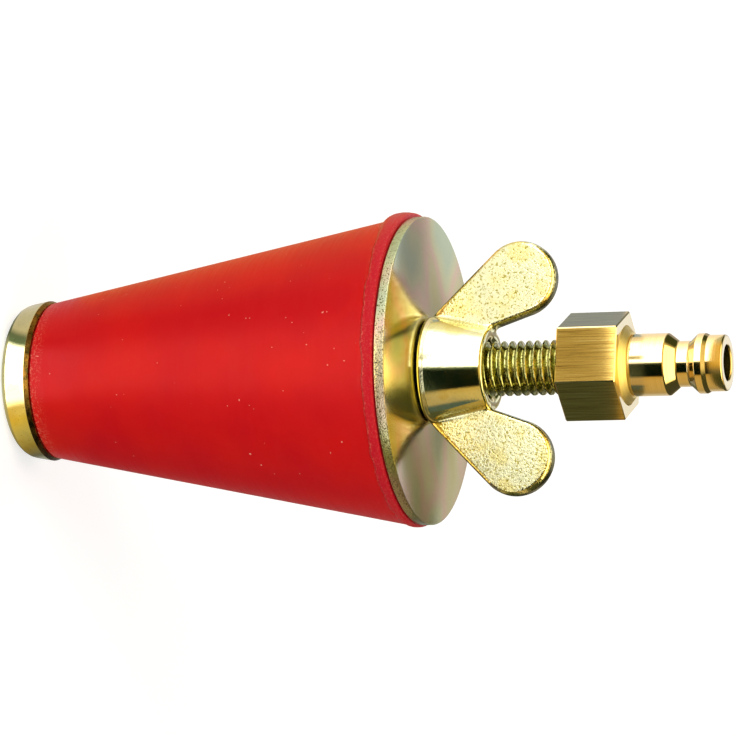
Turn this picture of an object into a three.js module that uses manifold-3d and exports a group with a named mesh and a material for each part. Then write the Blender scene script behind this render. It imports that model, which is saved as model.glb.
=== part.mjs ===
// Conical pipe test plug: a rubber cone squeezed between a nose cap and a washer by a wing nut.
// Millimetres, +Z up. The origin is the centre of the nose face, and the nipple points up.

import * as THREE from "three";
import { mergeVertices } from "three/addons/utils/BufferGeometryUtils.js";
import Module from "manifold-3d";

const wasm = await Module();
wasm.setup();

// Spindle: a hollow M8 stud that carries everything
const threadDiameter = 8.0;
const airBoreDiameter = 4.0;
const spindleEndChamfer = 0.7;
const threadShowing = 11.2; // from the wing nut's hub to the nipple's hexagon
const fitGap = 0.3; // between faces that touch, and around the thread

// Nose cap: a turned disc whose side carries on the taper of the cone
const capHeight = 5.0;
const capRimRadius = 11.95;
const capRimBevelLength = 0.65; // along the axis
const capRimBevelDepth = 0.35;
const capSideTaper = 10.0; // degrees
const capNoseRounding = 2.4;

// Rubber cone
const coneLength = 56.3;
const coneSmallRadius = 11.6;
const coneLargeRadius = 22.75;
const coneEdgeRounding = 0.5;
const lipWidth = 3.0; // the moulded lip next to the washer
const lipHeight = 0.3;

// Pressure washer
const washerRadius = 22.45;
const washerThickness = 1.5;
const washerEdgeBevel = 0.25;

// Wing nut: a conical hub with two flat ears
const hubBaseRadius = 8.0;
const hubTopRadius = 6.0;
const hubHeight = 9.25;
const hubEdgeRounding = 0.5;
const nutHeight = 18.65;
const wingSpan = 37.3;
const wingTipRadius = 5.55;
const wingThickness = 2.8;
const wingEdgeDepth = 1.1; // the crowned edge of an ear, across its thickness
const wingEdgeInset = 0.6; // and in from its outline
const wingRootFillet = 1.3; // between an ear's faces and the hub
const wingInnerFillet = 0.9; // between an ear's inner edge and the hub's top
const wingLowerOverhang = 0.1; // of an ear's lower edge past the hub's base
const wingInnerSetback = 0.4; // of an ear's inner edge from the rim of the hub's top
const nutCountersink = 0.8;
const wingAngle = -10.0; // degrees about the axis

// Coupling nipple: hexagon and quick-coupling plug, turned in one piece
const hexAcrossFlats = 14.0;
const hexHeight = 8.9;
const hexAngle = -14.5; // degrees about the axis
const bossRadius = 5.8;
const bossHeight = 0.9;
const grooveWidth = 0.3;
const grooveDepth = 0.2;
const shankRadius = 4.5;
const shankLength = 5.35; // from the boss
const neckTaperLength = 1.5;
const neckRadius = 3.3;
const neckLength = 1.8;
const collarTaperLength = 1.1;
const collarRadius = 4.33;
const collarLength = 1.05;
const collarStepLength = 0.55;
const tipRadius = 4.05;
const tipLength = 2.45;
const tipBevel = 0.35;
const nippleBoreRadius = 2.55;
const threadEngagement = 6.0; // of the spindle in the hexagon
const threadMouthChamfer = 0.5;

// Flat seal at the end of the spindle, inside the nipple
const sealThickness = 0.8;

// Details of how the solids are joined and cut
const wingRootSink = 0.05; // keeps the fillets' own plan just under the hub's skin
const cutterOvershoot = 1.0; // of a drill past the face it enters or leaves

// Fineness of the round surfaces
const bodySides = 64;
const nippleSides = 48;
const arcSteps = 5; // in a quarter-circle edge rounding
const wingTipSteps = 18;

// Places along the axis, stacked from the nose
const threadRadius = threadDiameter / 2;
const clearanceRadius = threadRadius + fitGap;
const coneStart = capHeight + fitGap;
const coneEnd = coneStart + coneLength;
const washerStart = coneEnd + fitGap;
const nutStart = washerStart + washerThickness + fitGap;
const hexStart = nutStart + hubHeight + threadShowing;
const hexEnd = hexStart + hexHeight;
const spindleEnd = hexStart + threadEngagement;
const spindleStart = fitGap;
const sealStart = spindleEnd + fitGap;
const threadHoleEnd = sealStart + sealThickness + fitGap;

function radians(degrees) {
  return (degrees * Math.PI) / 180;
}

// Points of an arc, both ends included; angles in radians
function arc(centreX, centreY, radius, from, to, steps) {
  const points = [];
  for (let i = 0; i <= steps; i += 1) {
    const angle = from + ((to - from) * i) / steps;
    points.push([centreX + radius * Math.cos(angle), centreY + radius * Math.sin(angle)]);
  }
  return points;
}

// Revolves a closed profile of [radius, height] points, listed with the material on their left
function turned(profile, sides) {
  const outline = profile.map(([radius, height]) => new THREE.Vector2(radius, height));
  outline.push(outline[0].clone());
  return new THREE.LatheGeometry(outline, sides).rotateX(Math.PI / 2);
}

function toSolid(geometry) {
  const bare = geometry.clone();
  bare.deleteAttribute("normal");
  bare.deleteAttribute("uv");
  const merged = mergeVertices(bare, 1e-4);
  const corners = merged.index.array;
  const kept = [];
  for (let i = 0; i < corners.length; i += 3) {
    const [a, b, c] = [corners[i], corners[i + 1], corners[i + 2]];
    if (a !== b && b !== c && c !== a) kept.push(a, b, c); // the others shrink to the axis
  }
  const vertProperties = new Float32Array(merged.attributes.position.array);
  const triVerts = new Uint32Array(kept);
  return new wasm.Manifold(new wasm.Mesh({ numProp: 3, vertProperties, triVerts }));
}

function toGeometry(solid) {
  const mesh = solid.getMesh();
  const geometry = new THREE.BufferGeometry();
  geometry.setAttribute("position", new THREE.BufferAttribute(mesh.vertProperties, 3));
  geometry.setIndex(new THREE.BufferAttribute(mesh.triVerts, 1));
  geometry.computeVertexNormals();
  return geometry;
}

function finish(color, metalness, roughness) {
  return new THREE.MeshStandardMaterial({ color, metalness, roughness });
}

function piece(name, geometry, material) {
  const mesh = new THREE.Mesh(geometry, material);
  mesh.name = name;
  return mesh;
}

function makeSpindle() {
  const bore = airBoreDiameter / 2;
  const profile = [
    [bore, spindleStart],
    [threadRadius - spindleEndChamfer, spindleStart],
    [threadRadius, spindleStart + spindleEndChamfer],
    [threadRadius, spindleEnd - spindleEndChamfer],
    [threadRadius - spindleEndChamfer, spindleEnd],
    [bore, spindleEnd],
  ];
  return turned(profile, nippleSides);
}

function makeNoseCap() {
  const taper = radians(capSideTaper);
  const rimHeight = capHeight - capRimBevelLength;
  const roundingCentreRadius =
    capRimRadius -
    (rimHeight - capNoseRounding) * Math.tan(taper) -
    capNoseRounding / Math.cos(taper);
  const profile = [
    [clearanceRadius, 0],
    ...arc(roundingCentreRadius, capNoseRounding, capNoseRounding, -Math.PI / 2, -taper, arcSteps),
    [capRimRadius, rimHeight],
    [capRimRadius - capRimBevelDepth, capHeight],
    [clearanceRadius, capHeight],
  ];
  return turned(profile, bodySides);
}

function makeRubberCone() {
  const slope = (coneLargeRadius - coneSmallRadius) / coneLength;
  const side = Math.atan(slope);
  const rounding = coneEdgeRounding;
  const lipStart = coneEnd - lipWidth;
  const lipMiddle = coneEnd - lipWidth / 2;
  const sideRadius = (height) => coneSmallRadius + slope * (height - coneStart);
  const smallEdge = [sideRadius(coneStart + rounding) - rounding / Math.cos(side), coneStart + rounding];
  const largeEdge = [coneLargeRadius + lipHeight / 2 - rounding, coneEnd - rounding];
  const profile = [
    [clearanceRadius, coneStart],
    ...arc(...smallEdge, rounding, -Math.PI / 2, -side, arcSteps),
    [sideRadius(lipStart), lipStart],
    [sideRadius(lipMiddle) + lipHeight, lipMiddle],
    ...arc(...largeEdge, rounding, 0, Math.PI / 2, arcSteps),
    [clearanceRadius, coneEnd],
  ];
  return turned(profile, bodySides);
}

function makePressureWasher() {
  const top = washerStart + washerThickness;
  const profile = [
    [clearanceRadius, washerStart],
    [washerRadius - washerEdgeBevel, washerStart],
    [washerRadius, washerStart + washerEdgeBevel],
    [washerRadius, top - washerEdgeBevel],
    [washerRadius - washerEdgeBevel, top],
    [clearanceRadius, top],
  ];
  return turned(profile, bodySides);
}

// The hub's radius at a height above the nut's seat
function hubRadius(height) {
  return hubBaseRadius + ((hubTopRadius - hubBaseRadius) * height) / hubHeight;
}

function makeHub() {
  const rounding = hubEdgeRounding;
  const lean = Math.atan((hubBaseRadius - hubTopRadius) / hubHeight);
  const lowCentre = [hubRadius(rounding) - rounding / Math.cos(lean), rounding];
  const highCentre = [hubRadius(hubHeight - rounding) - rounding / Math.cos(lean), hubHeight - rounding];
  const profile = [
    [clearanceRadius + nutCountersink / 2, 0],
    ...arc(...lowCentre, rounding, -Math.PI / 2, lean, arcSteps),
    ...arc(...highCentre, rounding, lean, Math.PI / 2, arcSteps),
    [clearanceRadius + nutCountersink, hubHeight],
    [clearanceRadius, hubHeight - nutCountersink],
    [clearanceRadius, nutCountersink / 2],
  ];
  return turned(profile, bodySides);
}

// Where a line from a point touches a circle; side is 1 for the right of the line to its centre
function tangentPoint(from, centre, radius, side) {
  const dx = from[0] - centre[0];
  const dy = from[1] - centre[1];
  const angle = Math.atan2(dy, dx) + side * Math.acos(radius / Math.hypot(dx, dy));
  return { angle, point: [centre[0] + radius * Math.cos(angle), centre[1] + radius * Math.sin(angle)] };
}

// One ear seen square on: a straight lower edge, a round tip and a steep inner edge
function wingOutline() {
  const tipCentre = [wingSpan / 2 - wingTipRadius, nutHeight - wingTipRadius];
  const lowerRoot = [hubBaseRadius + wingLowerOverhang, hubEdgeRounding / 2];
  const innerRoot = [hubTopRadius + wingInnerSetback, hubHeight];
  const lower = tangentPoint(lowerRoot, tipCentre, wingTipRadius, 1);
  const inner = tangentPoint(innerRoot, tipCentre, wingTipRadius, -1);
  const innerAngle = inner.angle < lower.angle ? inner.angle + 2 * Math.PI : inner.angle;
  const lean = Math.atan2(inner.point[0] - innerRoot[0], inner.point[1] - innerRoot[1]);
  const fillet = wingInnerFillet;
  const reach = fillet * Math.tan(Math.PI / 4 + lean / 2);
  const filletCentre = [innerRoot[0] - reach, hubHeight + fillet];
  return [
    [filletCentre[0], lowerRoot[1]],
    lowerRoot,
    ...arc(...tipCentre, wingTipRadius, lower.angle, innerAngle, wingTipSteps),
    ...arc(...filletCentre, fillet, -lean, -Math.PI / 2, arcSteps),
  ];
}

// Extrudes an outline that stands in the XZ plane, half to each side of it
function standingPlate(outline, thickness, edgeDepth, edgeInset) {
  const shape = new THREE.Shape(outline.map(([x, z]) => new THREE.Vector2(x, z)));
  const geometry = new THREE.ExtrudeGeometry(shape, {
    depth: thickness - 2 * edgeDepth,
    bevelEnabled: edgeInset > 0,
    bevelThickness: edgeDepth,
    bevelSize: edgeInset,
    bevelOffset: -edgeInset,
    bevelSegments: 4,
  });
  geometry.translate(0, 0, -thickness / 2 + edgeDepth);
  return geometry.rotateX(Math.PI / 2);
}

// Plan of the hub at one height, with a concave fillet from the hub to each face of the ears
function filletedPlan(radius) {
  const away = wingThickness / 2 + wingRootFillet;
  const reach = Math.sqrt((radius + wingRootFillet) ** 2 - away ** 2);
  const contact = Math.atan2(away, reach);
  const fillet = arc(reach, away, wingRootFillet, -Math.PI / 2, contact - Math.PI, arcSteps);
  const crown = arc(0, 0, radius - wingRootSink, contact, Math.PI / 2, arcSteps).slice(1);
  const quarter = [...fillet, ...crown];
  const mirrored = quarter.slice(0, -1).map(([x, y]) => [-x, y]).reverse();
  const upper = [...quarter, ...mirrored];
  const lower = upper.map(([x, y]) => [-x, -y]);
  return [...upper, ...lower];
}

// Lofts the filleted plan along the hub, between the roundings of its two ends
function makeRootFillets() {
  const bottom = hubEdgeRounding;
  const top = hubHeight - hubEdgeRounding;
  const low = filletedPlan(hubRadius(bottom));
  const high = filletedPlan(hubRadius(top));
  const count = low.length;
  const positions = [];
  low.forEach(([x, y]) => positions.push(x, y, bottom));
  high.forEach(([x, y]) => positions.push(x, y, top));
  const index = [];
  for (let i = 0; i < count; i += 1) {
    const next = (i + 1) % count;
    index.push(i, next, count + next);
    index.push(i, count + next, count + i);
  }
  const cap = THREE.ShapeUtils.triangulateShape(low.map(([x, y]) => new THREE.Vector2(x, y)), []);
  cap.forEach(([a, b, c]) => index.push(c, b, a));
  cap.forEach(([a, b, c]) => index.push(count + a, count + b, count + c));
  const geometry = new THREE.BufferGeometry();
  geometry.setAttribute("position", new THREE.Float32BufferAttribute(positions, 3));
  geometry.setIndex(index);
  return geometry;
}

function makeWingNut() {
  const outline = wingOutline();
  const ear = toSolid(standingPlate(outline, wingThickness, wingEdgeDepth, wingEdgeInset));
  const reach = 2 * (hubBaseRadius + wingRootFillet);
  const earShadow = toSolid(standingPlate(outline, reach, 0, 0));
  const rightEar = ear.add(toSolid(makeRootFillets()).intersect(earShadow));
  const leftEar = rightEar.rotate([0, 0, 180]);
  return toGeometry(toSolid(makeHub()).add(rightEar).add(leftEar));
}

function makeHexagon() {
  const corner = hexAcrossFlats / Math.sqrt(3);
  const points = [];
  for (let i = 0; i < 6; i += 1) {
    const angle = radians(hexAngle + 60 * i);
    points.push(new THREE.Vector2(corner * Math.cos(angle), corner * Math.sin(angle)));
  }
  const shape = new THREE.Shape(points);
  const geometry = new THREE.ExtrudeGeometry(shape, { depth: hexHeight, bevelEnabled: false });
  return geometry.translate(0, 0, hexStart);
}

// The plug end as it comes off the lathe, from inside the hexagon to the tip
function makePlugEnd() {
  const bossEnd = hexEnd + bossHeight;
  const shankEnd = hexEnd + shankLength + bossHeight;
  const neckStart = shankEnd + neckTaperLength;
  const neckEnd = neckStart + neckLength;
  const collarStart = neckEnd + collarTaperLength;
  const collarEnd = collarStart + collarLength;
  const tipStart = collarEnd + collarStepLength;
  const tipEnd = tipStart + tipLength;
  const profile = [
    [0, hexStart + hexHeight / 2],
    [bossRadius, hexStart + hexHeight / 2],
    [bossRadius, hexEnd],
    [shankRadius + grooveDepth, bossEnd],
    [shankRadius - grooveDepth, bossEnd],
    [shankRadius - grooveDepth, bossEnd + grooveWidth],
    [shankRadius, bossEnd + grooveWidth],
    [shankRadius, shankEnd],
    [neckRadius, neckStart],
    [neckRadius, neckEnd],
    [collarRadius, collarStart],
    [collarRadius, collarEnd],
    [tipRadius, tipStart],
    [tipRadius, tipEnd - tipBevel],
    [tipRadius - tipBevel, tipEnd],
    [0, tipEnd],
  ];
  return { geometry: turned(profile, nippleSides), tipEnd };
}

// What the drill and the tap take out: the threaded seat for the spindle, then the air bore
function makeNippleBore(tipEnd) {
  const profile = [
    [0, hexStart - cutterOvershoot],
    [clearanceRadius + threadMouthChamfer, hexStart - cutterOvershoot],
    [clearanceRadius + threadMouthChamfer, hexStart],
    [clearanceRadius, hexStart + threadMouthChamfer],
    [clearanceRadius, threadHoleEnd],
    [nippleBoreRadius, threadHoleEnd],
    [nippleBoreRadius, tipEnd + cutterOvershoot],
    [0, tipEnd + cutterOvershoot],
  ];
  return turned(profile, nippleSides);
}

function makeCouplingNipple() {
  const { geometry, tipEnd } = makePlugEnd();
  const outside = toSolid(makeHexagon()).add(toSolid(geometry));
  return toGeometry(outside.subtract(toSolid(makeNippleBore(tipEnd))));
}

function makeNippleSeal() {
  const profile = [
    [nippleBoreRadius, sealStart],
    [threadRadius, sealStart],
    [threadRadius, sealStart + sealThickness],
    [nippleBoreRadius, sealStart + sealThickness],
  ];
  return turned(profile, nippleSides);
}

const yellowZincSteel = finish(0xd8c887, 0.9, 0.32);
const brass = finish(0xcaa14b, 0.95, 0.28);
const redRubber = finish(0xc8201c, 0.0, 0.5);
const sealFibre = finish(0x7c3b2c, 0.0, 0.7);

const wingNut = piece("wing_nut", makeWingNut(), yellowZincSteel.clone());
wingNut.position.z = nutStart;
wingNut.rotation.z = radians(wingAngle);

const plug = new THREE.Group();
plug.add(
  piece("nose_cap", makeNoseCap(), yellowZincSteel.clone()),
  piece("spindle", makeSpindle(), yellowZincSteel.clone()),
  piece("rubber_cone", makeRubberCone(), redRubber),
  piece("pressure_washer", makePressureWasher(), yellowZincSteel.clone()),
  wingNut,
  piece("coupling_nipple", makeCouplingNipple(), brass),
  piece("nipple_seal", makeNippleSeal(), sealFibre),
);

export default plug;
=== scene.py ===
# Conical pipe test plug, the finished look. Blender 4.5, metres, +Z up.
# The plug stands on its nose cap with the nipple on top. The camera is rolled to see it lying.

import math

import bmesh
import bpy
from mathutils import Matrix, Vector, noise


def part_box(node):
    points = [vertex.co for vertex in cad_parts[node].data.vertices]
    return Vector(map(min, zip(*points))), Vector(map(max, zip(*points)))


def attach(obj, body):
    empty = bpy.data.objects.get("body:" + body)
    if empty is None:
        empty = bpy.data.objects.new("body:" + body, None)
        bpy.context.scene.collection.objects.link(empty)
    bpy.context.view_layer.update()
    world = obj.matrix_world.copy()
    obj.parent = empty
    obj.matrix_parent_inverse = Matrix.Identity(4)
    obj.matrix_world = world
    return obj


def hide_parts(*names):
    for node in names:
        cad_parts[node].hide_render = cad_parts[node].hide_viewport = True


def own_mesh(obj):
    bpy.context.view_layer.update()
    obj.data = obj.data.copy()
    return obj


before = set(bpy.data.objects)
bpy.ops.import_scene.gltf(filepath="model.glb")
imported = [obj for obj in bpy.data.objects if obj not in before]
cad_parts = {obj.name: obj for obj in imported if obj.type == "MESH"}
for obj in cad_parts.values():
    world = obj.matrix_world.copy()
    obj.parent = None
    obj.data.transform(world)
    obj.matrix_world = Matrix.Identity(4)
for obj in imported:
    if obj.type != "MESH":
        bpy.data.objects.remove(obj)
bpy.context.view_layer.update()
mm = 0.001
seat = 0.15  # what is left between two pieces that press on each other, in millimetres
print("frame loaded:", len(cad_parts), "nodes")


# Small helpers for colours and nodes

def hexColour(code):
    channels = [int(code[i:i + 2], 16) / 255 for i in (0, 2, 4)]
    linear = [c / 12.92 if c <= 0.04045 else ((c + 0.055) / 1.055) ** 2.4 for c in channels]
    return (*linear, 1.0)


def addNode(tree, kind, settings=None, links=None):
    node = tree.nodes.new("ShaderNode" + kind)
    for name, value in (settings or {}).items():
        if name == "stops":  # of a colour ramp: place and colour
            while len(node.color_ramp.elements) < len(value):
                node.color_ramp.elements.new(0.5)
            for element, (place, colour) in zip(node.color_ramp.elements, value):
                element.position = place
                element.color = colour
        elif isinstance(name, int) or name in node.inputs:
            node.inputs[name].default_value = value
        else:
            setattr(node, name, value)
    for name, socket in (links or {}).items():
        tree.links.new(socket, node.inputs[name])
    return node


def newTree(name):
    material = bpy.data.materials.new(name)
    material.use_nodes = True
    material.node_tree.nodes.clear()
    return material, material.node_tree


def grey(value):
    return (value, value, value, 1.0)


def perSize(size):  # a noise scale for features of a size in millimetres
    return 1 / (size * mm)


# Small helpers for shapes; lengths in millimetres until the mesh is made

def ringOf(radius, height, count):
    steps = [2 * math.pi * i / count for i in range(count)]
    return [(radius * math.cos(a), radius * math.sin(a), height) for a in steps]


# Faces between rings that have as many points each
def skin(rings, closed):
    count = len(rings[0])
    faces = []
    for i in range(len(rings) if closed else len(rings) - 1):
        here = i * count
        there = (i + 1) % len(rings) * count
        for j in range(count):
            k = (j + 1) % count
            faces.append((here + j, here + k, there + k, there + j))
    return [point for ring in rings for point in ring], faces


# A closed profile of (radius, height, rounding), each corner rounded by an arc
def rounded(corners, steps=6):
    points = []
    for i, (x, y, rounding) in enumerate(corners):
        here = Vector((x, y))
        before = Vector(corners[i - 1][:2]) - here
        after = Vector(corners[(i + 1) % len(corners)][:2]) - here
        if rounding == 0:
            points.append((x, y))
            continue
        half = before.angle(after) / 2
        centre = here + (before.normalized() + after.normalized()).normalized() * rounding / math.sin(half)
        first = here + before.normalized() * rounding / math.tan(half) - centre
        last = here + after.normalized() * rounding / math.tan(half) - centre
        start = math.atan2(first.y, first.x)
        turn = (math.atan2(last.y, last.x) - start + math.pi) % (2 * math.pi) - math.pi
        for k in range(steps + 1):
            angle = start + turn * k / steps
            points.append((centre.x + rounding * math.cos(angle), centre.y + rounding * math.sin(angle)))
    return points


def meshOf(name, points, faces):
    mesh = bpy.data.meshes.new(name)
    mesh.from_pydata([Vector(p) * mm for p in points], [], faces)
    work = bmesh.new()
    work.from_mesh(mesh)
    bmesh.ops.remove_doubles(work, verts=work.verts, dist=1e-7)
    bmesh.ops.recalc_face_normals(work, faces=work.faces)
    work.to_mesh(mesh)
    work.free()
    return mesh


def lathe(name, corners, sides):
    rings = [ringOf(radius, height, sides) for radius, height in rounded(corners)]
    return meshOf(name, *skin(rings, closed=True))


# Puts a finished mesh into the scene as the piece that stands for a node of the frame
def addPiece(mesh, node, body, materials, sharpAngle=18):
    mesh.shade_smooth()
    mesh.set_sharp_from_angle(angle=math.radians(sharpAngle))
    piece = bpy.data.objects.new(mesh.name, mesh)
    bpy.context.scene.collection.objects.link(piece)
    for material in materials:
        mesh.materials.append(material)
    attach(piece, body)
    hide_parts(node)
    print(mesh.name, "has", len(mesh.polygons), "faces")
    return piece


# Marks how gritty the surface is, from 0 to 1, by a rule on each point in millimetres
def markGrit(mesh, rule):
    marks = mesh.attributes.new("gritty", "FLOAT", "POINT")
    marks.data.foreach_set("value", [rule(*(vertex.co / mm)) for vertex in mesh.vertices])


# Steel, zinc plated and yellow passivated: a thin chromate film that gives a pale gold
# with faint pink and green patches, and olive pits where the plating is rough
def passivatedZinc(name, look):
    material, tree = newTree(name)
    place = addNode(tree, "TexCoord")
    patches = addNode(tree, "TexNoise", {"Scale": perSize(look["patch"]), "Detail": look["patchDetail"]},
                      {"Vector": place.outputs["Object"]})
    tint = addNode(tree, "ValToRGB", {"stops": [(at, hexColour(code)) for at, code in look["tints"]]},
                   {"Fac": patches.outputs["Fac"]})
    grit = addNode(tree, "TexNoise", {"Scale": perSize(look["grit"]), "Detail": 2.5, "Roughness": 0.6},
                   {"Vector": place.outputs["Object"]})
    gritty = addNode(tree, "Attribute", {"attribute_name": "gritty"})
    share = addNode(tree, "MapRange", {"To Min": look["gritElsewhere"], "To Max": 1.0},
                    {"Value": gritty.outputs["Fac"]})
    first, last = look["pitRange"]
    pits = addNode(tree, "ValToRGB", {"stops": [(first, hexColour(look["pit"])), (last, grey(1.0))]},
                   {"Fac": grit.outputs["Fac"]})
    colour = addNode(tree, "MixRGB", {"blend_type": "MULTIPLY"},
                     {"Fac": share.outputs["Result"], "Color1": tint.outputs["Color"],
                      "Color2": pits.outputs["Color"]})
    height = addNode(tree, "Math", {"operation": "MULTIPLY"},
                     {0: grit.outputs["Fac"], 1: share.outputs["Result"]})
    bump = addNode(tree, "Bump", {"Strength": 1.0, "Distance": look["gritDepth"] * mm},
                   {"Height": height.outputs["Value"]})
    low, high = look["roughness"]
    dull = addNode(tree, "MapRange", {"From Min": 0.35, "From Max": 0.65, "To Min": low, "To Max": high},
                   {"Value": patches.outputs["Fac"]})
    surface = addNode(tree, "BsdfPrincipled", {"Metallic": 1.0},
                      {"Base Color": colour.outputs["Color"], "Roughness": dull.outputs["Result"],
                       "Normal": bump.outputs["Normal"]})
    addNode(tree, "OutputMaterial", None, {"Surface": surface.outputs["BSDF"]})
    return material


# Brass bar: drawn, with fine lines along the bar, or turned, cut or bored, with fine rings round it
def brass(name, look):
    material, tree = newTree(name)
    place = addNode(tree, "TexCoord")
    along, across = look["alongAxis"], look["acrossAxis"]
    stretched = addNode(tree, "Mapping", {"Scale": (perSize(across), perSize(across), perSize(along))},
                        {"Vector": place.outputs["Object"]})
    lines = addNode(tree, "TexNoise", {"Scale": 1.0, "Detail": 3.0, "Roughness": 0.65},
                    {"Vector": stretched.outputs["Vector"]})
    tint = addNode(tree, "ValToRGB", {"stops": [(at, hexColour(code)) for at, code in look["tints"]]},
                   {"Fac": lines.outputs["Fac"]})
    bump = addNode(tree, "Bump", {"Strength": 1.0, "Distance": look["lineDepth"] * mm},
                   {"Height": lines.outputs["Fac"]})
    surface = addNode(tree, "BsdfPrincipled", {"Metallic": 1.0, "Roughness": look["roughness"]},
                      {"Base Color": tint.outputs["Color"], "Normal": bump.outputs["Normal"]})
    addNode(tree, "OutputMaterial", None, {"Surface": surface.outputs["BSDF"]})
    return material


# Red moulded rubber, ground on its side: satin, with faint marks round it, a few light specks
# and pale crumbs: moulding flash at the small end, and along the lip's crease and large edge a painted
# highlight of glints
def groundRubber(name, look):
    material, tree = newTree(name)
    place = addNode(tree, "TexCoord")
    roundWays = addNode(tree, "Mapping", {"Scale": (perSize(look["markLength"]), perSize(look["markLength"]),
                                                    perSize(look["markSpacing"]))},
                        {"Vector": place.outputs["Object"]})
    marks = addNode(tree, "TexNoise", {"Scale": 1.0, "Detail": 3.0, "Roughness": 0.6},
                    {"Vector": roundWays.outputs["Vector"]})
    clouds = addNode(tree, "TexNoise", {"Scale": perSize(look["cloud"]), "Detail": 2.0},
                     {"Vector": place.outputs["Object"]})
    base = addNode(tree, "ValToRGB",
                   {"stops": [(0.35, hexColour(look["deep"])), (0.65, hexColour(look["red"]))]},
                   {"Fac": clouds.outputs["Fac"]})
    speckle = addNode(tree, "TexNoise", {"Scale": perSize(look["speck"]), "Detail": 0.0},
                      {"Vector": place.outputs["Object"]})
    specks = addNode(tree, "ValToRGB", {"stops": [(look["speckLimit"], grey(0.0)),
                                                  (look["speckLimit"] + 0.02, grey(0.8))]},
                     {"Fac": speckle.outputs["Fac"]})
    dusted = addNode(tree, "MixRGB", {"Color2": hexColour(look["speckColour"])},
                     {"Fac": specks.outputs["Color"], "Color1": base.outputs["Color"]})
    lip = addNode(tree, "Attribute", {"attribute_name": "lip"})
    shaded = addNode(tree, "MixRGB", {"Color2": hexColour(look["lipRed"])},
                     {"Fac": lip.outputs["Fac"], "Color1": dusted.outputs["Color"]})
    ragged = addNode(tree, "Attribute", {"attribute_name": "ragged"})
    crumbs = addNode(tree, "TexNoise", {"Scale": perSize(look["crumb"]), "Detail": 2.0, "Roughness": 0.7},
                     {"Vector": place.outputs["Object"]})
    crumbMask = addNode(tree, "ValToRGB", {"stops": [(look["crumbRange"][0], grey(0.0)),
                                                     (look["crumbRange"][1], grey(1.0))]},
                        {"Fac": crumbs.outputs["Fac"]})
    edgeMask = addNode(tree, "Math", {"operation": "MULTIPLY"},
                       {0: crumbMask.outputs["Color"], 1: ragged.outputs["Fac"]})
    # pale crumbs: real flash at the small end; on the lip's crease and large edge their pale colour is
    # painted highlight glints
    colour = addNode(tree, "MixRGB", {"Color2": hexColour(look["flashAndGlints"])},
                     {"Fac": edgeMask.outputs["Value"], "Color1": shaded.outputs["Color"]})
    markBump = addNode(tree, "Bump", {"Strength": 1.0, "Distance": look["markDepth"] * mm},
                       {"Height": marks.outputs["Fac"]})
    crumbHeight = addNode(tree, "Math", {"operation": "MULTIPLY"},
                          {0: crumbs.outputs["Fac"], 1: ragged.outputs["Fac"]})
    bump = addNode(tree, "Bump", {"Strength": 1.0, "Distance": look["crumbDepth"] * mm},
                   {"Height": crumbHeight.outputs["Value"], "Normal": markBump.outputs["Normal"]})
    dull = addNode(tree, "MapRange", {"From Min": 0.3, "From Max": 0.7, "To Min": look["roughness"][0],
                                      "To Max": look["roughness"][1]},
                   {"Value": marks.outputs["Fac"]})
    surface = addNode(tree, "BsdfPrincipled", {"IOR": 1.5, "Specular IOR Level": look["gloss"]},
                      {"Base Color": colour.outputs["Color"], "Roughness": dull.outputs["Result"],
                       "Normal": bump.outputs["Normal"]})
    addNode(tree, "OutputMaterial", None, {"Surface": surface.outputs["BSDF"]})
    return material


# Nose cap: a turned disc, its nose rounded and its rim broken by a narrow bevel
noseCap = {
    "sides": 256, "bore": 4.06, "noseRounding": 2.4, "taper": 10.0,
    "bevelLength": 0.65, "bevelDepth": 0.35, "rimEdge": 0.1,
    "look": {"patch": 4.0, "patchDetail": 2.0,
             "tints": [(0.38, "d9d1a0"), (0.5, "e4daa4"), (0.66, "dcc982")],
             "grit": 0.3, "gritDepth": 0.006, "gritElsewhere": 1.0, "pit": "b9b48c", "pitRange": (0.28, 0.36),
             "roughness": (0.1, 0.17)},
    # the bevel is painted dark bronze: a painted shade and a painted reflection of the red rubber
    "bevelShadeLook": {"patch": 1.2, "patchDetail": 2.0,
                  "tints": [(0.38, "4c4520"), (0.5, "6a5424"), (0.66, "8a6c30")],
                  "grit": 0.2, "gritDepth": 0.01, "gritElsewhere": 1.0, "pit": "807860",
                  "pitRange": (0.36, 0.46), "roughness": (0.25, 0.35)},
}


def makeNoseCap():
    low, high = (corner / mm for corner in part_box("nose_cap"))
    rim = high.z - noseCap["bevelLength"]
    slope = math.tan(math.radians(noseCap["taper"]))
    corners = [
        (noseCap["bore"], 0, 0.15),
        (high.x - rim * slope, 0, noseCap["noseRounding"]),
        (high.x, rim, noseCap["rimEdge"]),
        (high.x - noseCap["bevelDepth"], high.z, 0.08),
        (noseCap["bore"], high.z, 0),
    ]
    mesh = lathe("noseCap", corners, noseCap["sides"])
    # faces on the bevel take the dark bronze, a painted shade and reflection
    for face in mesh.polygons:
        onBevel = face.center.z / mm > rim + noseCap["rimEdge"] and face.center.xy.length / mm > high.x - 0.5
        face.material_index = 1 if onBevel else 0
    zinc = passivatedZinc("yellow passivated zinc, turned", noseCap["look"])
    bronze = passivatedZinc("bronze passivated zinc, turned", noseCap["bevelShadeLook"])
    return addPiece(mesh, "nose_cap", "core", [zinc, bronze])


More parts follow.
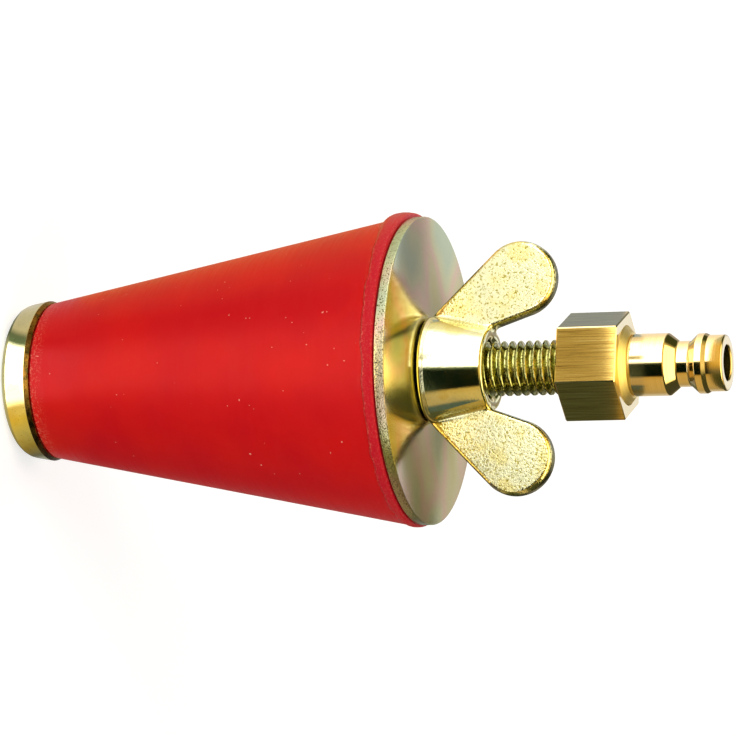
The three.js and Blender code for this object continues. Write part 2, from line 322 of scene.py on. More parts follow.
# Rubber cone: a ground cone with a ragged moulded lip, widest at the top of the photo
rubberCone = {
    "sides": 320, "sideRows": 60, "edgeRows": 8, "bore": 4.3, "small": 11.6, "large": 22.75,
    "smallEdge": 0.45, "largeEdge": 0.4,
    "lipWidth": 1.5, "lipRise": 0.4, "lipHeight": 0.16, "lipRows": (10, 10), "lipFall": 0.5,
    "raggedness": 0.09,
    "creaseDepth": 0.2, "creaseWidth": 0.25, "lumpSize": 1 / 1.9,
    # what the lip gains towards the top of the photo: amount, and how near the top it starts
    "widthGain": [(0.5, 1), (2.1, 20)], "heightGain": [(0.2, 1), (0.42, 10)], "riseGain": [(1.3, 20)],
    "look": {"red": "d20b0b", "deep": "c80210", "lipRed": "c40a20", "flashAndGlints": "f08a6c",
             "speckColour": "f6b8a0",
             "gloss": 0.16, "markLength": 7.0, "markSpacing": 0.42, "markDepth": 0.02, "cloud": 11.0,
             "speck": 0.5, "speckLimit": 0.862, "crumb": 0.3, "crumbRange": (0.52, 0.64),
             "crumbDepth": 0.16, "roughness": (0.3, 0.42)},
}


def gain(steps, upward):
    return sum(amount * upward ** power for amount, power in steps)


def makeRubberCone():
    look = rubberCone
    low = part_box("nose_cap")[1].z / mm + seat
    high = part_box("pressure_washer")[0].z / mm - seat
    length = high - low
    slope = (look["large"] - look["small"]) / length
    lean = math.atan(slope)
    columns, marks = [], []
    for j in range(look["sides"]):
        turn = 2 * math.pi * j / look["sides"]
        upward = (1 - math.cos(turn)) / 2  # 1 at -X, the top of the photo
        wander = noise.noise(Vector((9 * math.cos(turn), 9 * math.sin(turn), 1.7)))
        width = look["lipWidth"] + gain(look["widthGain"], upward) + 0.25 * wander
        height = look["lipHeight"] + gain(look["heightGain"], upward)
        rise = look["lipRise"] + gain(look["riseGain"], upward)
        column = [(look["bore"], low, 0.0)]
        edge = look["smallEdge"]
        sideStart = low + edge
        centre = look["small"] + slope * edge - edge / math.cos(lean)
        for k in range(look["edgeRows"]):
            angle = -math.pi / 2 + (math.pi / 2 - lean) * k / look["edgeRows"]
            column.append((centre + edge * math.cos(angle), sideStart + edge * math.sin(angle), 1.0))
        lipStart = high - width
        for k in range(look["sideRows"] + 1):
            z = sideStart + (lipStart - sideStart) * (k / look["sideRows"]) ** 0.8
            near = max(0.0, 1 - (z - low) / 0.9)
            column.append((look["small"] + slope * (z - low), z, near))
        edge = look["largeEdge"]
        last = high - edge
        steepRows, flatRows = look["lipRows"]
        flat = last - lipStart - rise
        depths = [rise * (k + 1) / steepRows for k in range(steepRows)]
        depths += [rise + flat * (k + 1) / flatRows for k in range(flatRows)]
        for depth in depths:
            z = lipStart + depth
            swell = min(1.0, depth / rise)
            fall = look["lipFall"] * (max(0.0, depth - rise) / flat) ** 2
            swell = swell * swell * (3 - 2 * swell) * (1 - fall)
            crease = math.exp(-((depth - look["creaseDepth"]) / look["creaseWidth"]) ** 2)
            side = look["small"] + slope * (z - low)
            spot = Vector((side * math.cos(turn), side * math.sin(turn), z))
            lump = noise.noise(spot / look["lumpSize"]) * look["raggedness"] * (0.35 + crease)
            # the crease weight, larger towards the top, and the large edge's share place pale crumbs as
            # painted highlight glints
            column.append((side + height * swell + lump, z, min(1.0, 0.12 + crease * (0.3 + 0.7 * upward))))
        outer = column[-1][0]
        for k in range(1, look["edgeRows"] + 1):
            angle = math.pi / 2 * k / look["edgeRows"]
            column.append((outer - edge + edge * math.cos(angle), last + edge * math.sin(angle), 0.2))
        column.append((look["bore"], high, 0.0))
        columns.append([(r * math.cos(turn), r * math.sin(turn), z) for r, z, mark in column])
        marks.append([mark for r, z, mark in column])
    rings = [list(ring) for ring in zip(*columns)]
    points, faces = skin(rings, closed=True)
    mesh = bpy.data.meshes.new("rubberCone")
    mesh.from_pydata([Vector(p) * mm for p in points], [], faces)
    ragged = mesh.attributes.new("ragged", "FLOAT", "POINT")
    ragged.data.foreach_set("value", [mark for ring in zip(*marks) for mark in ring])
    lip = mesh.attributes.new("lip", "FLOAT", "POINT")
    lipRow = 1 + look["edgeRows"] + look["sideRows"] + 2
    lip.data.foreach_set("value", [float(row > lipRow) for row in range(len(rings)) for point in rings[row]])
    work = bmesh.new()
    work.from_mesh(mesh)
    bmesh.ops.recalc_face_normals(work, faces=work.faces)
    work.to_mesh(mesh)
    work.free()
    rubber = groundRubber("red rubber, moulded and ground", look["look"])
    piece = addPiece(mesh, "rubber_cone", "core", [rubber], sharpAngle=40)
    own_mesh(piece)
    return piece


# Pressure washer: stamped and plated, so its edges are soft and its face is cloudy
pressureWasher = {
    "sides": 288, "bore": 4.2, "edge": 0.16,
    "look": {"patch": 13.0, "patchDetail": 0.8,
             "tints": [(0.28, "acc0a4"), (0.4, "c6c8a0"), (0.49, "d8baa6"), (0.58, "ccc698"),
                       (0.72, "c6be6c")],
             "grit": 0.26, "gritDepth": 0.055, "gritElsewhere": 0.06, "pit": "8a8448",
             "pitRange": (0.34, 0.46),
             "roughness": (0.12, 0.17)},
}


def makePressureWasher():
    low, high = (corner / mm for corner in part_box("pressure_washer"))
    edge = pressureWasher["edge"]
    corners = [
        (pressureWasher["bore"], low.z, 0.1),
        (high.x, low.z, edge),
        (high.x, high.z, edge),
        (pressureWasher["bore"], high.z, 0.1),
    ]
    mesh = lathe("pressureWasher", corners, pressureWasher["sides"])
    markGrit(mesh, lambda x, y, z: float(math.hypot(x, y) > high.x - edge / 3))
    zinc = passivatedZinc("yellow passivated zinc, stamped", pressureWasher["look"])
    return addPiece(mesh, "pressure_washer", "washer", [zinc])


# Spindle: a hollow M8 stud with a real thread
spindle = {
    "segments": 64, "pitch": 1.25, "bore": 2.0, "chamferRadius": 3.1,
    # one turn of the thread form: share of the pitch, radius
    "form": [(0.0, 4.0), (0.1, 4.0), (0.17, 3.92), (0.42, 3.3), (0.48, 3.22), (0.56, 3.2), (0.64, 3.22),
             (0.7, 3.3), (0.93, 3.92)],
    "look": {"patch": 2.5, "patchDetail": 2.0,
             "tints": [(0.36, "b2b67c"), (0.5, "c6c284"), (0.64, "9ea062")],
             "grit": 0.22, "gritDepth": 0.014, "gritElsewhere": 1.0, "pit": "787a40",
             "pitRange": (0.38, 0.46),
             "roughness": (0.08, 0.14)},
}


def makeSpindle():
    low, high = (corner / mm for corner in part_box("spindle"))
    form = spindle["form"]
    pitch, segments = spindle["pitch"], spindle["segments"]
    turns = math.ceil((high.z - low.z) / pitch) + 1
    rows = (turns + 1) * len(form)
    points, faces = [], []
    for j in range(segments + 1):
        angle = 2 * math.pi * j / segments
        for row in range(rows):
            share, radius = form[row % len(form)]
            z = low.z + pitch * (row // len(form) - 1 + share + j / segments)
            z = min(max(z, low.z), high.z)
            radius = min(radius, spindle["chamferRadius"] + z - low.z, spindle["chamferRadius"] + high.z - z)
            points.append((radius * math.cos(angle), radius * math.sin(angle), z))
        if j:
            before, here = (j - 1) * rows, j * rows
            faces += [(before + k, here + k, here + k + 1, before + k + 1) for k in range(rows - 1)]
    # the bore and the two end faces
    ends = [ringOf(spindle["chamferRadius"], low.z, segments), ringOf(spindle["bore"], low.z, segments),
            ringOf(spindle["bore"], high.z, segments), ringOf(spindle["chamferRadius"], high.z, segments)]
    endPoints, endFaces = skin(ends, closed=False)
    faces += [tuple(len(points) + corner for corner in face) for face in endFaces]
    mesh = meshOf("threadedSpindle", points + endPoints, faces)
    zinc = passivatedZinc("yellow passivated zinc, rolled thread", spindle["look"])
    return addPiece(mesh, "spindle", "core", [zinc])


# Wing nut: a casting, so its hub and ears run into each other with fillets
wingNut = {
    "hubBase": 8.0, "hubTop": 6.0, "hubHeight": 9.25, "hubEdge": 0.45, "bore": 4.18, "countersink": 0.6,
    "height": 18.65, "span": 37.3, "tipRadius": 5.55, "thickness": 2.8, "angle": -10.0,
    "crownDepth": 1.1, "crownInset": 0.6, "lowerOverhang": 0.1,
    "innerSetback": 0.4, "innerFillet": 0.9, "voxel": 0.16, "filletReach": 0.8, "filletPasses": 50,
    # truing: how far out of true a point may be, and what stays as cast
    "hubError": 0.1, "earError": 0.06, "hubEnds": 0.8, "rootsKept": 2.0,
    # the painted dark olive shade on an ear's edge starts this far in from its face and out from the hub
    "facePart": 0.6, "rootPart": 0.5,
    "look": {"patch": 3.5, "patchDetail": 2.0,
             "tints": [(0.36, "e8e4b4"), (0.5, "f0eab8"), (0.64, "ecdf98")],
             "grit": 0.36, "gritDepth": 0.05, "gritElsewhere": 0.12, "pit": "b8ad58",
             "pitRange": (0.35, 0.45),
             "roughness": (0.07, 0.11)},
    # the narrow edges of the ears are painted dark olive: a painted shade and reflection
    "edgeShadeLook": {"patch": 2.0, "patchDetail": 2.0,
                 "tints": [(0.36, "5c5c34"), (0.5, "74703c"), (0.64, "8c8448")],
                 "grit": 0.36, "gritDepth": 0.03, "gritElsewhere": 1.0, "pit": "9c9870",
                 "pitRange": (0.35, 0.45), "roughness": (0.2, 0.3)},
}


def hubRadius(z):
    return wingNut["hubBase"] + (wingNut["hubTop"] - wingNut["hubBase"]) * z / wingNut["hubHeight"]


# Where a line from a point touches the ear's round tip
def tangentAngle(start, centre, radius, side):
    away = Vector(start) - Vector(centre)
    return math.atan2(away.y, away.x) + side * math.acos(radius / away.length)


def earOutline():
    radius, hubHeight = wingNut["tipRadius"], wingNut["hubHeight"]
    tip = (wingNut["span"] / 2 - radius, wingNut["height"] - radius)
    lowerRoot = (wingNut["hubBase"] + wingNut["lowerOverhang"], wingNut["hubEdge"] / 2)
    innerRoot = (wingNut["hubTop"] + wingNut["innerSetback"], hubHeight)
    lower = tangentAngle(lowerRoot, tip, radius, 1)
    inner = tangentAngle(innerRoot, tip, radius, -1)
    inner += 2 * math.pi if inner < lower else 0
    innerPoint = (tip[0] + radius * math.cos(inner), tip[1] + radius * math.sin(inner))
    lean = math.atan2(innerPoint[0] - innerRoot[0], innerPoint[1] - innerRoot[1])
    fillet = wingNut["innerFillet"]
    filletX = innerRoot[0] - fillet * math.tan(math.pi / 4 + lean / 2)
    outline = [(filletX, lowerRoot[1]), lowerRoot]
    for k in range(49):
        angle = lower + (inner - lower) * k / 48
        outline.append((tip[0] + radius * math.cos(angle), tip[1] + radius * math.sin(angle)))
    for k in range(9):
        angle = -lean + (lean - math.pi / 2) * k / 8
        outline.append((filletX + fillet * math.cos(angle), hubHeight + fillet + fillet * math.sin(angle)))
    return outline


# Moves every point of an outline inward by the same distance
def inset(outline, distance):
    moved = []
    for i, point in enumerate(outline):
        here = Vector(point)
        before = (here - Vector(outline[i - 1])).normalized()
        after = (Vector(outline[(i + 1) % len(outline)]) - here).normalized()
        along = (before + after).normalized()
        stretch = 1 / max(0.6, along.dot(after))
        moved.append((here.x - along.y * distance * stretch, here.y + along.x * distance * stretch))
    return moved


# One ear lying in the XZ plane, its edge crowned by a quarter of an ellipse on each side
def earSolid():
    half = wingNut["thickness"] / 2
    outline = earOutline()
    layers = []
    for k in range(9):
        angle = math.pi / 2 * k / 8
        depth = half - wingNut["crownDepth"] * (1 - math.cos(angle))
        layers.append((depth, wingNut["crownInset"] * (1 - math.sin(angle))))
    layers += [(-depth, shrink) for depth, shrink in reversed(layers)]
    rings = [[(x, depth, z) for x, z in inset(outline, shrink)] for depth, shrink in layers]
    points, faces = skin(rings, closed=False)
    faces += [tuple(range(len(outline))), tuple(range(len(points) - len(outline), len(points)))]
    return points, faces


def hubSolid():
    bore, sink, edge = wingNut["bore"], wingNut["countersink"], wingNut["hubEdge"]
    base = seat - 0.3  # the frame leaves 0.3 mm under the nut
    corners = [
        (bore + sink / 2, base, 0),
        (wingNut["hubBase"], base, edge),
        (wingNut["hubTop"], wingNut["hubHeight"], edge),
        (bore + sink, wingNut["hubHeight"], 0),
        (bore, wingNut["hubHeight"] - sink, 0),
        (bore, base + sink / 2, 0),
    ]
    return skin([ringOf(r, z, 256) for r, z in rounded(corners)], closed=True)


# Runs modifiers on a mesh, given as kind, settings and a function for what else they need
def worked(mesh, kind, settings, prepare=None):
    blank = bpy.data.objects.new("wingNutBlank", mesh)
    bpy.context.scene.collection.objects.link(blank)
    if prepare:
        prepare(blank)
    tool = blank.modifiers.new(kind.lower(), kind)
    for name, value in settings.items():
        setattr(tool, name, value)
    result = bpy.data.meshes.new_from_object(blank.evaluated_get(bpy.context.evaluated_depsgraph_get()))
    bpy.data.objects.remove(blank)
    return result


# How far a point of the nut is from the lines where the ears meet the hub
def fromRoots(x, y, z):
    return math.hypot(math.hypot(x, y) - hubRadius(z), abs(y) - wingNut["thickness"] / 2)


def markRoots(blank):
    weights = blank.vertex_groups.new(name="roots")
    reach = wingNut["filletReach"]
    for vertex in blank.data.vertices:
        x, y, z = vertex.co / mm
        away = fromRoots(x, y, z)
        if away < 3 * reach and abs(x) > wingNut["bore"]:
            weights.add([vertex.index], math.exp(-(away / reach) ** 2), "REPLACE")


def makeWingNut():
    low, high = (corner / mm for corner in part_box("wing_nut"))
    half = wingNut["thickness"] / 2
    points, faces = earSolid()
    hubPoints, hubFaces = hubSolid()
    every = [*hubPoints, *points, *((-x, -y, z) for x, y, z in points)]
    everyFace = list(hubFaces)
    for offset in (len(hubPoints), len(hubPoints) + len(points)):
        everyFace += [tuple(corner + offset for corner in face) for face in faces]
    mesh = meshOf("wingNutPattern", every, everyFace)
    mesh = worked(mesh, "REMESH", {"mode": "VOXEL", "voxel_size": wingNut["voxel"] * mm})
    mesh = worked(mesh, "SMOOTH", {"factor": 0.5, "iterations": 3})
    mesh = worked(mesh, "SMOOTH", {"factor": 0.5, "iterations": wingNut["filletPasses"],
                                   "vertex_group": "roots"}, markRoots)
    # true the faces that were flat or turned before casting took their crispness
    for vertex in mesh.vertices:
        x, y, z = vertex.co / mm
        radius = math.hypot(x, y)
        ends = wingNut["hubEnds"]
        onHub = abs(radius - hubRadius(z)) < wingNut["hubError"] and ends < z < wingNut["hubHeight"] - ends
        onEar = abs(abs(y) - half) < wingNut["earError"] and radius > hubRadius(z)
        if fromRoots(x, y, z) < wingNut["rootsKept"]:
            continue
        if onHub:
            vertex.co *= Vector((hubRadius(z) / radius, hubRadius(z) / radius, 1))
        elif onEar:
            vertex.co.y = math.copysign(half, y) * mm
    # the hub is turned after casting, so the grit is left on the ears
    markGrit(mesh, lambda x, y, z: min(1.0, max(0.0, (math.hypot(x, y) - hubRadius(z)) / 0.7)))
    # faces on the ears' narrow edges take the dark olive, a painted shade and reflection
    onEdge = []
    for face in mesh.polygons:
        x, y, z = face.center / mm
        beyondRoot = math.hypot(x, y) > hubRadius(z) + wingNut["rootPart"]
        onEdge.append(beyondRoot and abs(y) < half - wingNut["facePart"])
    turn = Matrix.Rotation(math.radians(wingNut["angle"]), 4, "Z")
    mesh.transform(Matrix.Translation((0, 0, low.z * mm)) @ turn)
    mesh.name = "wingNut"
    mesh.materials.clear()
    zinc = passivatedZinc("yellow passivated zinc, cast", wingNut["look"])
    olive = passivatedZinc("passivated zinc with painted shade, cast ear edges", wingNut["edgeShadeLook"])
    piece = addPiece(mesh, "wing_nut", "nut", [zinc, olive], sharpAngle=60)
    mesh.polygons.foreach_set("material_index", [int(edge) for edge in onEdge])
    return piece


# Coupling nipple: hexagon and plug end turned from one drawn bar
couplingNipple = {
    "across": 14.0, "hexHeight": 8.9, "hexAngle": -14.5, "cornerWidth": 0.24, "edge": 0.16, "sides": 288,
    "mouth": 4.5, "threadHole": 4.06, "mouthDepth": 0.45, "bore": 2.55, "boreEdge": 0.25,
    # the plug end above the hexagon: height, radius, rounding
    "plug": [
        (0.01, 4.9, 0),
        (0.01, 5.8, 0),
        (0.9, 4.7, 0.1),
        (0.9, 4.3, 0),
        (1.2, 4.3, 0),
        (1.2, 4.5, 0.08),
        (6.25, 4.5, 0.45),  # end of the shank
        (7.75, 3.3, 0.5),  # neck, which the coupling's balls hold
        (9.55, 3.3, 0.5),
        (10.65, 4.33, 0.25),  # collar
        (11.7, 4.33, 0.15),
        (12.25, 4.05, 0.2),  # tip, which enters the coupling's seal
    ],
    "tip": 4.05, "tipEdge": 0.35,
    # where each finish ends: radius inside all flats, degrees from a flat, height, and a margin
    "flatRadius": 5.9, "cornerTurn": 12, "footHeight": 1.1, "margin": 0.02,
    "drawnLook": {"alongAxis": 9.0, "acrossAxis": 0.22, "lineDepth": 0.003, "roughness": 0.09,
                  "tints": [(0.3, "9c7c38"), (0.45, "c8a456"), (0.6, "d4b262"), (0.75, "e8d090")]},
    "turnedLook": {"alongAxis": 0.22, "acrossAxis": 30.0, "lineDepth": 0.0012, "roughness": 0.1,
                   "tints": [(0.3, "e8cb8c"), (0.7, "f0d9a2")]},
    # the foot of the plug end is left as the tool cut it, and the bore is dull and painted dark olive, a
    # painted shade in the hole
    "footLook": {"alongAxis": 0.22, "acrossAxis": 30.0, "lineDepth": 0.004, "roughness": 0.42,
                 "tints": [(0.3, "ecd080"), (0.7, "f4e0a0")]},
    "boreShadeLook": {"alongAxis": 0.3, "acrossAxis": 12.0, "lineDepth": 0.01, "roughness": 0.3,
                 "tints": [(0.3, "4c5030"), (0.7, "76744a")]},
}


def hexPoint(angle, apothem):
    corner = math.radians(couplingNipple["hexAngle"])
    off = (angle - corner + math.pi / 6) % (math.pi / 3) - math.pi / 6  # from the nearest corner
    flat = apothem / math.cos(math.pi / 6 - abs(off))
    blunt = apothem / math.cos(math.pi / 6) - couplingNipple["cornerWidth"] / 2 * math.tan(math.pi / 6)
    return min(flat, blunt / math.cos(off))


def nippleAngles():
    count = couplingNipple["sides"]
    reach = couplingNipple["across"] / 2 / math.cos(math.pi / 6)
    blunt = math.atan(couplingNipple["cornerWidth"] / 2 / reach)
    angles = [2 * math.pi * i / count for i in range(count)]
    for i in range(6):
        corner = math.radians(couplingNipple["hexAngle"] + 60 * i) % (2 * math.pi)
        angles = [a for a in angles if abs(a - corner) > 2.5 * blunt]
        angles += [corner - blunt, corner, corner + blunt]
    return sorted(angles)


def makeCouplingNipple():
    low, high = (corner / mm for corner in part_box("coupling_nipple"))
    look = couplingNipple
    apothem, edge = look["across"] / 2, look["edge"]
    hexEnd = low.z + look["hexHeight"]
    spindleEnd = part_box("nipple_seal")[1].z / mm + 0.3
    angles = nippleAngles()
    corners = [(radius, hexEnd + height, rounding) for height, radius, rounding in look["plug"]]
    corners += [
        (look["tip"], high.z, look["tipEdge"]),
        (look["bore"], high.z, look["boreEdge"]),
        (look["bore"], spindleEnd, 0),
        (look["threadHole"], spindleEnd, 0),
        (look["threadHole"], low.z + look["mouthDepth"], 0),
        (look["mouth"], low.z, 0),
    ]
    rings = []
    for size, z in ((apothem - edge, low.z), (apothem, low.z + edge), (apothem, hexEnd - edge),
                    (apothem - edge, hexEnd)):
        rings.append([(hexPoint(a, size) * math.cos(a), hexPoint(a, size) * math.sin(a), z) for a in angles])
    for radius, z in rounded(corners)[1:]:
        rings.append([(radius * math.cos(a), radius * math.sin(a), z) for a in angles])
    points, faces = skin(rings, closed=True)
    mesh = meshOf("couplingNipple", points, faces)
    finishes = [brass("brass, drawn bar", look["drawnLook"]), brass("brass, turned", look["turnedLook"]),
                brass("brass, cut", look["footLook"]), brass("brass, bored, with painted shade", look["boreShadeLook"])]
    drawn, turned, foot, bored = range(len(finishes))
    margin = look["margin"]
    for face in mesh.polygons:
        level, away = face.center.z / mm, face.center.xy.length / mm
        facing = math.degrees(math.atan2(face.normal.y, face.normal.x)) - look["hexAngle"]
        onCorner = abs((facing + 30) % 60 - 30) < look["cornerTurn"]
        face.material_index = turned
        if low.z + edge < level < hexEnd - edge and away > look["flatRadius"] and not onCorner:
            face.material_index = drawn
        elif hexEnd + margin < level < hexEnd + look["footHeight"]:
            face.material_index = foot
        # faces in the bore take the dark olive, a painted shade
        elif away < look["bore"] + margin and level < high.z - look["boreEdge"]:
            face.material_index = bored
    return addPiece(mesh, "coupling_nipple", "core", finishes)


# Nipple seal: a plain rubber ring, closed in; it keeps its solid from the frame
nippleSeal = {"colour": "1c1a19", "grain": 0.12, "roughness": 0.62}


def finishNippleSeal():
    material, tree = newTree("black rubber, moulded")
    place = addNode(tree, "TexCoord")
    grain = addNode(tree, "TexNoise", {"Scale": perSize(nippleSeal["grain"]), "Detail": 2.0},
                    {"Vector": place.outputs["Object"]})
    bump = addNode(tree, "Bump", {"Strength": 1.0, "Distance": 0.01 * mm}, {"Height": grain.outputs["Fac"]})
    surface = addNode(tree, "BsdfPrincipled",
                      {"Base Color": hexColour(nippleSeal["colour"]), "Roughness": nippleSeal["roughness"]},
                      {"Normal": bump.outputs["Normal"]})
    addNode(tree, "OutputMaterial", None, {"Surface": surface.outputs["BSDF"]})
    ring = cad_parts["nipple_seal"]
    ring.data.materials.clear()
    ring.data.materials.append(material)


# Studio. Directions round the spindle are degrees from the camera's side towards the photo's top.
studio = {
    "floorSize": 6.0, "floorDiffuse": "d0d0d0", "floorGlow": 0.62, "worldDiffuse": 0.42,
    "lamps": [
        {"name": "key", "from": (38, 20), "distance": 0.6, "size": 0.45, "watts": 2.5, "colour": "fffaf2"},
        {"name": "fill", "from": (-60, 15), "distance": 0.7, "size": 0.5, "watts": 1.9, "colour": "ffffff"},
        {"name": "back", "from": (150, 35), "distance": 0.7, "size": 0.5, "watts": 1.6, "colour": "fff3dc"},
    ],
}


def direction(azimuth, elevation):
    a, e = math.radians(azimuth), math.radians(elevation)
    return Vector((-math.sin(a) * math.cos(e), -math.cos(a) * math.cos(e), math.sin(e)))


def seenRay(tree):
    path = addNode(tree, "LightPath")
    bright = addNode(tree, "Math", {"operation": "MAXIMUM"},
                     {0: path.outputs["Is Camera Ray"], 1: path.outputs["Is Glossy Ray"]})
    return addNode(tree, "Math", {"operation": "MAXIMUM"},
                   {0: bright.outputs["Value"], 1: path.outputs["Is Transmission Ray"]})


def makeFloorAndWorld():
    size = studio["floorSize"] / 2
    mesh = bpy.data.meshes.new("floor")
    mesh.from_pydata([(-size, -size, 0), (size, -size, 0), (size, size, 0), (-size, size, 0)], [],
                     [(0, 1, 2, 3)])
    floor = bpy.data.objects.new("floor", mesh)
    bpy.context.scene.collection.objects.link(floor)
    material, tree = newTree("white studio floor")
    plain = addNode(tree, "BsdfDiffuse", {"Color": hexColour(studio["floorDiffuse"])})
    seen = seenRay(tree)
    strength = addNode(tree, "Math", {"operation": "MULTIPLY", 1: studio["floorGlow"]},
                       {0: seen.outputs["Value"]})
    glow = addNode(tree, "Emission", None, {"Strength": strength.outputs["Value"]})
    both = addNode(tree, "AddShader", None, {0: plain.outputs["BSDF"], 1: glow.outputs["Emission"]})
    addNode(tree, "OutputMaterial", None, {"Surface": both.outputs["Shader"]})
    mesh.materials.append(material)
    world = bpy.data.worlds.new("studio")
    bpy.context.scene.world = world
    world.use_nodes = True
    tree = world.node_tree
    tree.nodes.clear()
    seen = seenRay(tree)
    level = addNode(tree, "MapRange", {"To Min": studio["worldDiffuse"], "To Max": 1.0},
                    {"Value": seen.outputs["Value"]})
    sky = addNode(tree, "Background", None, {"Strength": level.outputs["Result"]})
    addNode(tree, "OutputWorld", None, {"Surface": sky.outputs["Background"]})


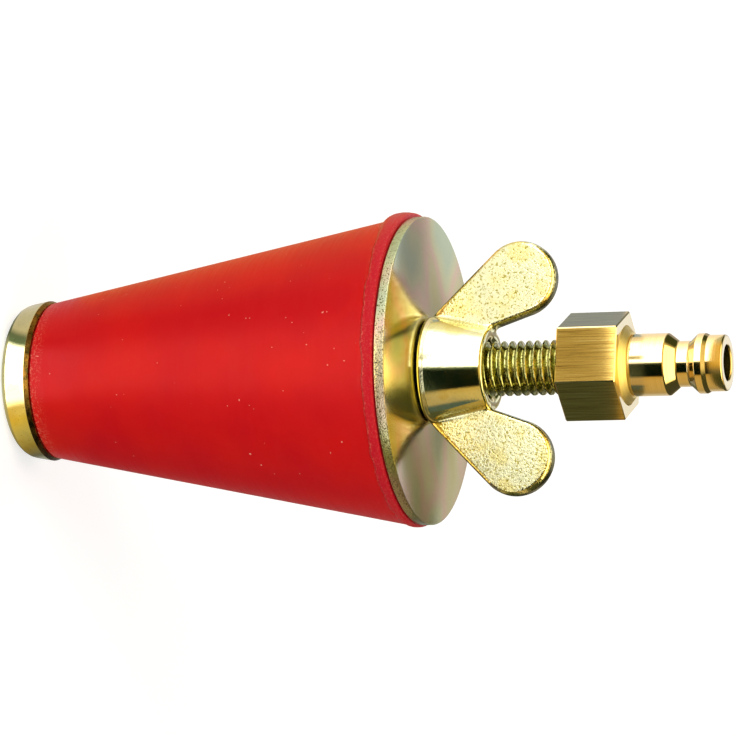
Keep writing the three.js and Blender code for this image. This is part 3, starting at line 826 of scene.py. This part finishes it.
# Rings of white, grey and dark cards round the plug, which only reflections see, from the floor
# to a closed top. Each has its heights and radii, and its cards as direction, brightness and colour.
cardPeak = 4.0
cardRings = [
    {"name": "cardsAtNose", "heights": (0.02, 0.2), "radii": (9.0, 11.3),
     "cards": [(-180, 0.3, "dcdcd0"), (-80, 0.2, "d8dcc8"), (-50, 0.35, "ffe890"), (-15, 0.7, "f4f4dc"),
               (31, 0.7, "f4f4dc"), (44, 0.2, "c8dcb8"), (90, 0.5, "f0f0e4"), (180, 0.3, "dcdcd0")]},
    {"name": "cardsAtCap", "heights": (0.2, 1.2), "radii": (11.3, 24.0),
     "cards": [(-180, 0.4, "dcdcd0"), (-104, 0.5, "dfe4e0"), (-92, 0.2, "d8dcc8"), (-70, 0.42, "e8cc70"),
               (-50, 0.6, "ffe890"), (-34, 0.9, "ffd860"), (-22, 1.0, "ffe8a0"), (-15, 4.0, "ffffff"),
               (31, 4.0, "ffffff"), (36, 0.35, "c8e8c0"), (44, 0.28, "c8dcb8"), (51, 0.7, "fff4e0"),
               (90, 0.75, "fff8f0"), (130, 0.55, "f0f0f0"), (180, 0.4, "dcdcd0")]},
    {"name": "cardsAtCone", "heights": (1.2, 43.0), "radii": (24.0, 55.0),
     "cards": [(-180, 0.5, "ffffff"), (-140, 0.3, "fff0e8"), (-100, 0.12, "ffe8e0"), (-40, 0.05, "ffe8e0"),
               (-18, 0.8, "ffe8c8"), (-4, 4.0, "ffe8c8"), (24, 4.0, "ffe8c8"), (40, 0.6, "ffe8d8"),
               (56, 0.1, "ffe0c0"), (72, 1.2, "ffd8a0"), (110, 1.0, "ffd080"), (150, 0.7, "ffd8a0"),
               (180, 0.5, "ffffff")]},
    {"name": "cardsAtRim", "heights": (43.0, 51.5), "radii": (55.0, 61.3),
     "cards": [(-180, 0.5, "e0e4e0"), (-140, 0.4, "dce0d0"), (-126, 0.14, "d0e0b0"), (-108, 0.42, "f8e0a8"),
               (-50, 0.36, "fff0b0"), (-28, 0.28, "e8f0c0"), (-9, 0.4, "f0f4d0"), (-3, 0.03, "203020"),
               (5, 0.03, "203020"), (11, 1.0, "fffae8"), (30, 1.3, "ffffff"), (60, 1.1, "fff4ec"),
               (92, 0.95, "fff4d8"), (120, 0.8, "fff0d0"), (147, 0.45, "f0f4e0"), (180, 0.45, "e0e4e0")]},
    {"name": "cardsAtEars", "heights": (51.5, 64.0), "radii": (61.3, 71.0),
     "cards": [(-180, 0.3, "dce0c8"), (-120, 0.12, "c8d090"), (-60, 0.15, "d8d890"), (-46, 0.2, "e0e098"),
               (-42, 1.6, "ffffff"), (-24, 1.6, "ffffff"), (-16, 1.15, "ffffff"), (60, 1.25, "ffffff"),
               (110, 1.0, "fff4c8"), (132, 0.7, "ffd880"),
               (146, 1.0, "fff0b8"), (180, 0.4, "dfe4e4")]},
    {"name": "cardsAtHexagon", "heights": (64.0, 73.5), "radii": (71.0, 79.0),
     "cards": [(-180, 0.3, "dce4dc"), (-110, 0.15, "e0d890"), (-93, 0.15, "d0f0e4"), (-81, 0.15, "d0f0e4"),
               (-74, 0.5, "ffe0a0"), (-50, 0.56, "ffe0a0"), (-40, 0.1, "c8e0b0"), (4, 0.06, "c8e0b0"),
               (14, 3.4, "ffffff"), (19, 3.4, "ffffff"), (23, 0.64, "fff4c8"), (32, 0.64, "fff4c8"),
               (36, 3.4, "ffffff"), (84, 3.0, "ffffff"), (98, 1.2, "fffcf0"), (120, 0.9, "fff0d8"),
               (130, 0.7, "c8e0ff"), (162, 0.65, "c8e0ff"), (180, 0.42, "dfe4e4")]},
    {"name": "cardsAtNipple", "heights": (73.5, 90.0), "radii": (79.0, 94.6),
     "cards": [(-180, 0.8, "fff8e8"), (-140, 0.65, "fff4e0"), (-124, 0.5, "ffe8b0"), (-100, 0.62, "ffe098"),
               (-60, 0.68, "ffdc8c"), (-46, 0.62, "ffd474"), (-41, 0.02, "308050"), (0, 0.03, "308050"),
               (6, 0.2, "c0e0a0"), (12, 4.0, "ffffff"), (50, 4.0, "ffffff"), (84, 3.4, "fff6dc"),
               (104, 1.7, "fff8f0"),
               (130, 1.2, "fff8f0"), (160, 1.0, "fff8f0"), (180, 0.8, "fff8e8")]},
    {"name": "cardsAtFace", "heights": (90.0, 118.0), "radii": (94.6, 121.0),
     "cards": [(-180, 0.34, "fff2e8"), (-170, 0.27, "ffe8a8"), (-150, 0.1, "d8d8b0"), (-70, 0.1, "d0d880"),
               (-50, 0.12, "d0d880"), (-30, 0.25, "ffe8a0"), (-10, 0.7, "ffd468"), (4, 0.9, "ffd468"),
               (70, 0.9, "ffd468"), (110, 0.6, "f0f4d8"), (150, 0.4, "fff8f0"), (180, 0.37, "fff2f0")]},
    {"name": "cardsHigh", "heights": (118.0, 200.0), "radii": (121.0, 190.0),
     "cards": [(-180, 1.3, "e8f0ff"), (-164, 1.0, "f0f0f0"), (-150, 0.1, "d8d8b0"), (-50, 0.1, "d0d880"),
               (-30, 0.25, "ffe8a0"), (-10, 0.8, "ffd468"), (70, 0.9, "ffd468"), (94, 0.5, "f0e8a0"),
               (106, 0.12, "b0c070"), (144, 0.12, "b0c070"), (158, 1.1, "e8f0ff"), (180, 1.3, "e8f0ff")]},
    {"name": "cardsAboveEars", "heights": (200.0, 235.0), "radii": (190.0, 160.0),
     "cards": [(-180, 0.9, "fffcf0"), (-150, 0.1, "d8d8b0"), (-50, 0.1, "d0d880"), (-20, 1.0, "ffe8a0"),
               (90, 1.0, "ffe8a0"), (106, 0.12, "b0c070"), (144, 0.12, "b0c070"), (158, 1.0, "fffcf0"),
               (180, 0.9, "fffcf0")]},
    {"name": "cardsOverhead", "heights": (235.0, 420.0), "radii": (160.0, 0.5),
     "cards": [(-180, 1.0, "fffcf0"), (-150, 0.55, "ffe8a8"), (-100, 0.65, "ffe088"), (-84, 3.3, "fff0b4"),
               (96, 3.3, "fff0b4"), (106, 0.12, "b0c070"), (140, 0.12, "b0c070"), (152, 1.2, "fffcf0"),
               (180, 1.0, "fffcf0")]},
]


def makeCardRing(ring):
    rings = [ringOf(radius, height, 96) for radius, height in zip(ring["radii"], ring["heights"])]
    points, faces = skin(rings, closed=False)
    mesh = bpy.data.meshes.new(ring["name"])
    mesh.from_pydata([Vector(p) * mm for p in points], [], faces)
    cards = bpy.data.objects.new(ring["name"], mesh)
    cards.rotation_euler.z = -math.pi / 2  # its own +X faces the camera's side
    bpy.context.scene.collection.objects.link(cards)
    for ray in ("camera", "diffuse", "transmission", "volume_scatter", "shadow"):
        setattr(cards, "visible_" + ray, False)
    material, tree = newTree("studio cards " + ring["name"])
    place = addNode(tree, "TexCoord")
    around = addNode(tree, "TexGradient", {"gradient_type": "RADIAL"}, {"Vector": place.outputs["Object"]})
    stops = []
    for azimuth, brightness, code in reversed(ring["cards"]):
        colour = [channel * brightness / cardPeak for channel in hexColour(code)[:3]]
        stops.append((0.5 - azimuth / 360, (*colour, 1.0)))
    ramp = addNode(tree, "ValToRGB", {"stops": stops}, {"Fac": around.outputs["Fac"]})
    glow = addNode(tree, "Emission", {"Strength": cardPeak}, {"Color": ramp.outputs["Color"]})
    addNode(tree, "OutputMaterial", None, {"Surface": glow.outputs["Emission"]})
    mesh.materials.append(material)


def makeLamps():
    middle = Vector((0, 0, 50 * mm))
    for lamp in studio["lamps"]:
        data = bpy.data.lights.new(lamp["name"], "AREA")
        data.energy = lamp["watts"]
        data.size = lamp["size"]
        data.color = hexColour(lamp["colour"])[:3]
        item = bpy.data.objects.new(lamp["name"], data)
        bpy.context.scene.collection.objects.link(item)
        item.location = middle + direction(*lamp["from"]) * lamp["distance"]
        item.rotation_euler = (middle - item.location).to_track_quat("-Z", "Y").to_euler()
        item.visible_glossy = False
        item.visible_camera = False


# Camera: fitted to the ellipses of the cap, the washer and the tip, and to the axis
camera = {"lens": 215.14, "sensor": 36.0, "distance": 0.640, "lookDown": 17.93, "roll": -1.56,
          "aim": 0.0634, "acrossShift": -0.009069, "upShift": 0.0004}


def makeCamera():
    down, roll = math.radians(camera["lookDown"]), math.radians(camera["roll"])
    axisWay = Vector((0, math.sin(down), math.cos(down)))
    sideWay = Vector((-1, 0, 0))
    towards = Vector((0, -math.cos(down), math.sin(down)))
    right = math.cos(roll) * axisWay + math.sin(roll) * sideWay
    up = -math.sin(roll) * axisWay + math.cos(roll) * sideWay
    spot = Vector((0, 0, camera["aim"])) + right * camera["acrossShift"] + up * camera["upShift"]
    spot += towards * camera["distance"]
    data = bpy.data.cameras.new("camera")
    data.lens = camera["lens"]
    data.sensor_width = camera["sensor"]
    data.clip_start = 0.01
    item = bpy.data.objects.new("camera", data)
    bpy.context.scene.collection.objects.link(item)
    item.matrix_world = Matrix.Translation(spot) @ Matrix((right, up, towards)).transposed().to_4x4()
    bpy.context.scene.camera = item


makeNoseCap()
makeRubberCone()
makePressureWasher()
makeSpindle()
makeWingNut()
makeCouplingNipple()
finishNippleSeal()
print("pieces made")

makeFloorAndWorld()
for ring in cardRings:
    makeCardRing(ring)
makeLamps()
makeCamera()
bpy.context.scene.view_settings.view_transform = "Standard"
print("studio made")
